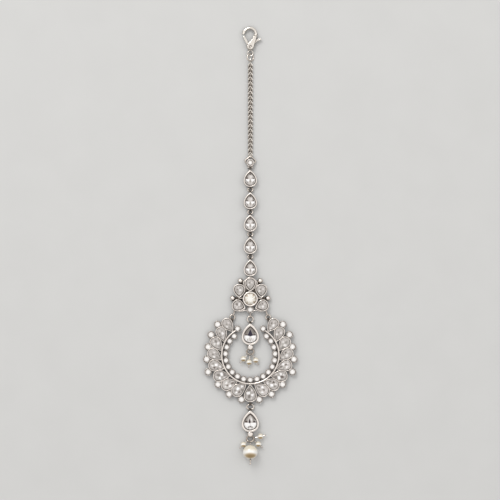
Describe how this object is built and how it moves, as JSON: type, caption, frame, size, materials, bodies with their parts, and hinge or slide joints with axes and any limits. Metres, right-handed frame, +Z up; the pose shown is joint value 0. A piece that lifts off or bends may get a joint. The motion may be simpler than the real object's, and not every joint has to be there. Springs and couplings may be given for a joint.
{
  "type": "maang tikka",
  "caption": "Head jewel: lobster clasp, fine chain, pear stone links, five-petal flower, pierced crescent of stones round a pear drop, lower pear drop and pearls.",
  "frame": {"origin": "middle of the jewel's width and length, on the surface that it lies on", "axes": "+X to the jewel's right, +Y along it towards the clasp, +Z up out of its stones"},
  "size_m": [0.0378, 0.1748, 0.0059],
  "materials": {
    "silver": "bright rhodium-plated silver tone",
    "clear_stone": "clear cut and polished stone",
    "pearl": "cream imitation pearl with a satin lustre"
  },
  "bodies": {
    "jewel": {"chain": "silver", "chain_end_ring": "silver", "clasp_body": "silver", "clasp_ring": "silver", "clasp_rivet": "silver", "connector": "silver", "crescent": "silver", "flower": "silver", "flower_stone": "clear_stone", "hanger_left": "silver", "hanger_middle": "silver", "hanger_right": "silver", "inner_drop": "silver", "inner_pearl_1": "pearl", "inner_pearl_2": "pearl", "inner_pearl_3": "pearl", "inner_pin_1": "silver", "inner_pin_2": "silver", "inner_pin_3": "silver", "inner_ring": "silver", "inner_stone": "clear_stone", "link_1": "silver", "link_2": "silver", "link_3": "silver", "link_4": "silver", "link_ring_1": "silver", "link_ring_2": "silver", "link_ring_3": "silver", "link_ring_4": "silver", "link_stone_1": "clear_stone", "link_stone_2": "clear_stone", "link_stone_3": "clear_stone", "link_stone_4": "clear_stone", "link_stone_5": "clear_stone", "lower_drop": "silver", "lower_ring": "silver", "lower_stone": "clear_stone", "main_pearl": "pearl", "main_pin": "silver", "petal_stone_1": "clear_stone", "petal_stone_2": "clear_stone", "petal_stone_3": "clear_stone", "petal_stone_4": "clear_stone", "petal_stone_5": "clear_stone", "tassel_pearl_1": "pearl", "tassel_pearl_2": "pearl", "tassel_pearl_3": "pearl", "tassel_pin_1": "silver", "tassel_pin_2": "silver", "tassel_pin_3": "silver", "tassel_ring": "silver"},
    "lever": {"clasp_lever": "silver"}
  },
  "joints": [
    {"name": "lever_hinge", "type": "hinge", "parent": "jewel", "child": "lever", "pos_m": [0, 0.07927, 0.0011], "axis": [0, 0, -1], "range_deg": [0, 25], "stiffness_Nm_per_rad": 0.002, "springref_deg": -5.73}
  ]
}
